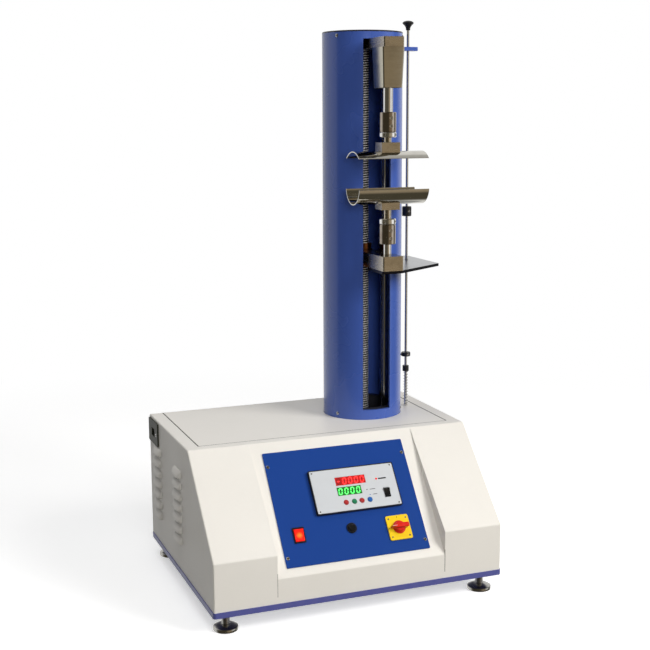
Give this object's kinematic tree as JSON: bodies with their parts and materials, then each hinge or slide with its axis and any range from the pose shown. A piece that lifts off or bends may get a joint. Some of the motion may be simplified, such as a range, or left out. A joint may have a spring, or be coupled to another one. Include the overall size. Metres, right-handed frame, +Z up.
{
  "type": "core crush tester",
  "caption": "Bench crush tester for paper cores and rings: sloped cabinet, slotted round column, screw-driven saddle jaws, limit rod and angled control panel.",
  "frame": {"origin": "on the floor under the middle of the machine's box", "axes": "+Z up along the column, -Y towards the user and the control panel, +X to the user's right"},
  "size_m": [0.61, 0.488, 1.147],
  "materials": {
    "base_paint": "violet-blue enamel, satin",
    "cabinet_paint": "cream powder coat, satin",
    "panel_paint": "deep blue sheet, semi-gloss",
    "column_paint": "blue enamel, gloss",
    "machine_steel": "turned and milled steel",
    "foot_steel": "zinc-plated steel, dulled",
    "polished_steel": "polished stainless steel",
    "cover_steel": "brushed stainless sheet",
    "screw_steel": "zinc-plated pan-head screws",
    "rod_steel": "ground steel rod",
    "spring_steel": "spring wire",
    "bronze": "bronze",
    "pulley_alloy": "machined aluminium",
    "cell_alloy": "anodised aluminium",
    "supply_case": "folded aluminium case",
    "motor_paint": "dark grey paint, satin",
    "stand_paint": "grey primer, matt",
    "belt_rubber": "black rubber",
    "black_collar": "blackened steel",
    "black_plastic": "black moulded plastic, matt",
    "black_gloss": "black moulded plastic, gloss",
    "face_film": "silver-grey film on plastic",
    "display_red": "dark red display window",
    "key_red": "red key cap",
    "key_green": "green key cap",
    "key_blue": "blue key cap",
    "rocker_red": "translucent red rocker",
    "plate_yellow": "yellow plastic plate",
    "knob_red": "red plastic handle"
  },
  "bodies": {
    "frame": {"base_plate": "base_paint", "cabinet_shell": "cabinet_paint", "top_cover": "cabinet_paint", "rear_panel": "cabinet_paint", "column_stand": "stand_paint", "column_tube": "column_paint", "column_cap": "column_paint", "guide_rods": "rod_steel", "screw_bearings": "machine_steel", "drive_belt": "belt_rubber", "gearmotor": "motor_paint", "upper_saddle": "polished_steel", "upper_jaw_stem": "machine_steel", "upper_coupling": "polished_steel", "upper_spigot": "machine_steel", "top_beam": "machine_steel", "load_cell": "cell_alloy", "load_cell_cover": "cover_steel", "limit_spring": "spring_steel", "limit_switches": "black_plastic", "control_panel": "panel_paint", "meter_housing": "black_plastic", "meter_face": "face_film", "display_modules": "display_red", "mains_rocker_housing": "black_plastic", "push_button_bush": "black_plastic", "cam_switch_body": "black_plastic", "cam_plate": "plate_yellow", "connector_plate": "black_plastic", "power_supply": "supply_case", "pan_head_screws": "screw_steel"},
    "screw": {"lead_screw": "machine_steel", "screw_pulley": "pulley_alloy"},
    "crosshead": {"crosshead": "machine_steel", "nut_and_bushes": "bronze", "trip_plate": "machine_steel", "lower_spigot": "machine_steel", "lower_coupling": "polished_steel", "lower_jaw_stem": "machine_steel", "lower_saddle": "polished_steel"},
    "motor_shaft": {"motor_pulley": "pulley_alloy"},
    "lower_ring": {"lower_lock_ring": "polished_steel"},
    "upper_ring": {"upper_lock_ring": "polished_steel"},
    "limit_rod": {"limit_rod": "rod_steel", "rod_knob": "black_plastic", "rod_collars": "machine_steel"},
    "upper_collar": {"upper_collar": "black_collar"},
    "lower_collar": {"lower_collar": "black_collar"},
    "cam_knob": {"cam_knob": "knob_red"},
    "mains_rocker": {"mains_rocker": "rocker_red"},
    "meter_rocker": {"meter_rocker": "black_gloss"},
    "push_button": {"push_button": "black_gloss"},
    "key_red_left": {"key_red_left": "key_red"},
    "key_green": {"key_green": "key_green"},
    "key_red_right": {"key_red_right": "key_red"},
    "key_blue": {"key_blue": "key_blue"},
    "foot_front_left": {"foot_front_left": "foot_steel"},
    "foot_front_right": {"foot_front_right": "foot_steel"},
    "foot_back_left": {"foot_back_left": "foot_steel"},
    "foot_back_right": {"foot_back_right": "foot_steel"}
  },
  "joints": [
    {"name": "screw_turn", "type": "hinge", "parent": "frame", "child": "screw", "pos_m": [0.1405, 0.0895, 0.6], "axis": [0, 0, 1], "range_deg": [-3600, 13320]},
    {"name": "crosshead_slide", "type": "slide", "parent": "frame", "child": "crosshead", "axis": [0, 0, 1], "range_m": [-0.1851, 0.0501]},
    {"name": "motor_turn", "type": "hinge", "parent": "frame", "child": "motor_shaft", "pos_m": [-0.0195, 0.0895, 0.227], "axis": [0, 0, 1], "range_deg": [-7201, 26641]},
    {"name": "lower_ring_turn", "type": "hinge", "parent": "crosshead", "child": "lower_ring", "pos_m": [0.1405, -0.034, 0.74], "axis": [0, 0, 1], "range_deg": [-180, 180]},
    {"name": "upper_ring_turn", "type": "hinge", "parent": "frame", "child": "upper_ring", "pos_m": [0.1405, -0.034, 0.914], "axis": [0, 0, 1], "range_deg": [-180, 180]},
    {"name": "rod_slide", "type": "slide", "parent": "frame", "child": "limit_rod", "axis": [0, 0, 1], "range_m": [-0.006, 0.006], "stiffness_N_per_m": 4600, "springref_m": 0.0006, "deforming": ["limit_spring"]},
    {"name": "upper_collar_slide", "type": "slide", "parent": "limit_rod", "child": "upper_collar", "axis": [0, 0, 1], "range_m": [-0.03, 0.12]},
    {"name": "lower_collar_slide", "type": "slide", "parent": "limit_rod", "child": "lower_collar", "axis": [0, 0, 1], "range_m": [-0.015, 0.006]},
    {"name": "cam_turn", "type": "hinge", "parent": "frame", "child": "cam_knob", "pos_m": [0.0918, -0.20815, 0.15314], "axis": [0, -0.7919, 0.6107], "range_deg": [-90, 0]},
    {"name": "mains_rock", "type": "hinge", "parent": "frame", "child": "mains_rocker", "pos_m": [-0.1153, -0.19558, 0.15798], "axis": [1, 0, 0], "range_deg": [-18, 0]},
    {"name": "meter_rock", "type": "hinge", "parent": "frame", "child": "meter_rocker", "pos_m": [0.0842, -0.16174, 0.21005], "axis": [1, 0, 0], "range_deg": [-18, 0]},
    {"name": "button_press", "type": "slide", "parent": "frame", "child": "push_button", "axis": [0, -0.7919, 0.6107], "range_m": [-0.003, 0], "stiffness_N_per_m": 300, "springref_m": 0.002},
    {"name": "key_red_left_press", "type": "slide", "parent": "frame", "child": "key_red_left", "axis": [0, -0.7919, 0.6107], "range_m": [-0.0012, 0], "stiffness_N_per_m": 300, "springref_m": 0.001},
    {"name": "key_green_press", "type": "slide", "parent": "frame", "child": "key_green", "axis": [0, -0.7919, 0.6107], "range_m": [-0.0012, 0], "stiffness_N_per_m": 300, "springref_m": 0.001},
    {"name": "key_red_right_press", "type": "slide", "parent": "frame", "child": "key_red_right", "axis": [0, -0.7919, 0.6107], "range_m": [-0.0012, 0], "stiffness_N_per_m": 300, "springref_m": 0.001},
    {"name": "key_blue_press", "type": "slide", "parent": "frame", "child": "key_blue", "axis": [0, -0.7919, 0.6107], "range_m": [-0.0012, 0], "stiffness_N_per_m": 300, "springref_m": 0.001},
    {"name": "foot_front_left_level", "type": "slide", "parent": "frame", "child": "foot_front_left", "axis": [0, 0, 1], "range_m": [-0.008, 0.008]},
    {"name": "foot_front_right_level", "type": "slide", "parent": "frame", "child": "foot_front_right", "axis": [0, 0, 1], "range_m": [-0.008, 0.008]},
    {"name": "foot_back_left_level", "type": "slide", "parent": "frame", "child": "foot_back_left", "axis": [0, 0, 1], "range_m": [-0.008, 0.008]},
    {"name": "foot_back_right_level", "type": "slide", "parent": "frame", "child": "foot_back_right", "axis": [0, 0, 1], "range_m": [-0.008, 0.008]}
  ],
  "couplings": [
    {"joint": "crosshead_slide", "follows": "screw_turn", "m_per_rad": -0.00079577},
    {"joint": "motor_turn", "follows": "screw_turn", "ratio": 2}
  ]
}
